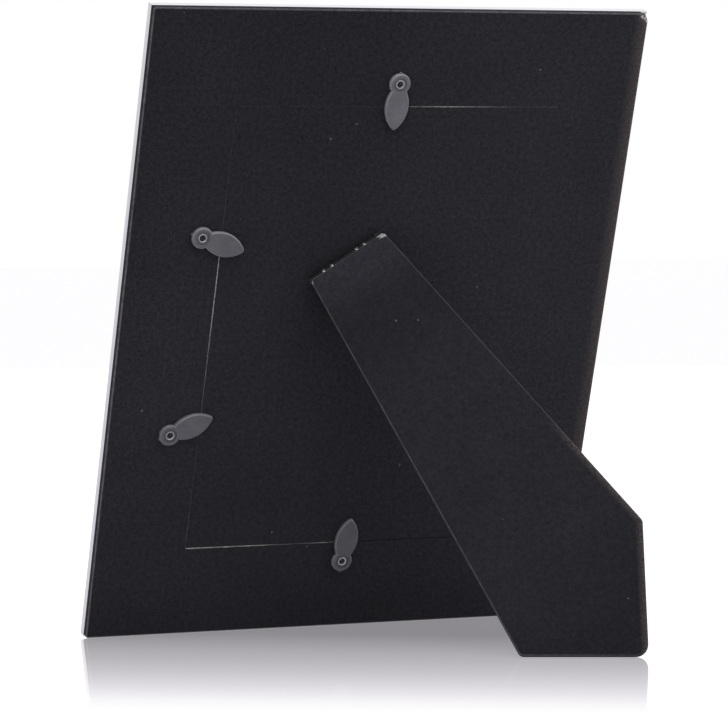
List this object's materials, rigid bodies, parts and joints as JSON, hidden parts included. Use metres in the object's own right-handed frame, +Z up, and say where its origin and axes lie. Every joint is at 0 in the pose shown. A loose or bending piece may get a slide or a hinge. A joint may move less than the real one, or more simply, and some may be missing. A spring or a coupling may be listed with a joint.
{
  "type": "easel back photo frame",
  "caption": "Free-standing photo frame with a metal front, a velvet back, a door held by turn buttons, and a slanting folding easel leg.",
  "frame": {"origin": "middle of the footprint on the table, where the lower edge and the foot of the open leg rest", "axes": "+Z up, the metal front faces -Y and leans back, the easel leg stands towards +Y"},
  "size_m": [0.2032, 0.1539, 0.242],
  "materials": {
    "polished_metal": "polished",
    "board": "matte",
    "glass": "clear",
    "card": "matte",
    "black_velvet": "velvet",
    "lining": "matte",
    "eyelet_metal": "satin",
    "hinge_steel": "satin",
    "button_plastic": "satin"
  },
  "bodies": {
    "frame": {"metal_front": "polished_metal", "core_board": "board", "glass_pane": "glass", "picture_card": "card", "surround_board": "board", "door_board": "board", "back_velvet": "black_velvet", "button_eyelets": "eyelet_metal", "hinge_door_leaf": "hinge_steel", "hinge_door_rivets": "hinge_steel", "hinge_pin": "hinge_steel"},
    "easel_leg": {"hinge_leg_leaf": "hinge_steel", "hinge_leg_rivets": "hinge_steel", "leg_board": "board", "leg_velvet": "black_velvet", "leg_lining": "lining"},
    "top_turn_button_body": {"top_turn_button": "button_plastic"},
    "upper_side_turn_button_body": {"upper_side_turn_button": "button_plastic"},
    "lower_side_turn_button_body": {"lower_side_turn_button": "button_plastic"},
    "bottom_turn_button_body": {"bottom_turn_button": "button_plastic"}
  },
  "joints": [
    {"name": "leg_hinge", "type": "hinge", "parent": "frame", "child": "easel_leg", "pos_m": [0.0131, -0.01915, 0.1471], "axis": [0.8192, -0.1851, -0.5429], "range_deg": [-45.2, 0]},
    {"name": "top_turn_button_pivot", "type": "hinge", "parent": "frame", "child": "top_turn_button_body", "pos_m": [-0.00005, 0.00174, 0.21288], "axis": [0, 0.9465, -0.3227], "continuous": true},
    {"name": "upper_side_turn_button_pivot", "type": "hinge", "parent": "frame", "child": "upper_side_turn_button_body", "pos_m": [0.0726, -0.01785, 0.15543], "axis": [0, 0.9465, -0.3227], "continuous": true},
    {"name": "lower_side_turn_button_pivot", "type": "hinge", "parent": "frame", "child": "lower_side_turn_button_body", "pos_m": [0.0767, -0.04363, 0.0798], "axis": [0, 0.9465, -0.3227], "continuous": true},
    {"name": "bottom_turn_button_pivot", "type": "hinge", "parent": "frame", "child": "bottom_turn_button_body", "pos_m": [-0.0019, -0.06174, 0.02671], "axis": [0, 0.9465, -0.3227], "continuous": true}
  ]
}
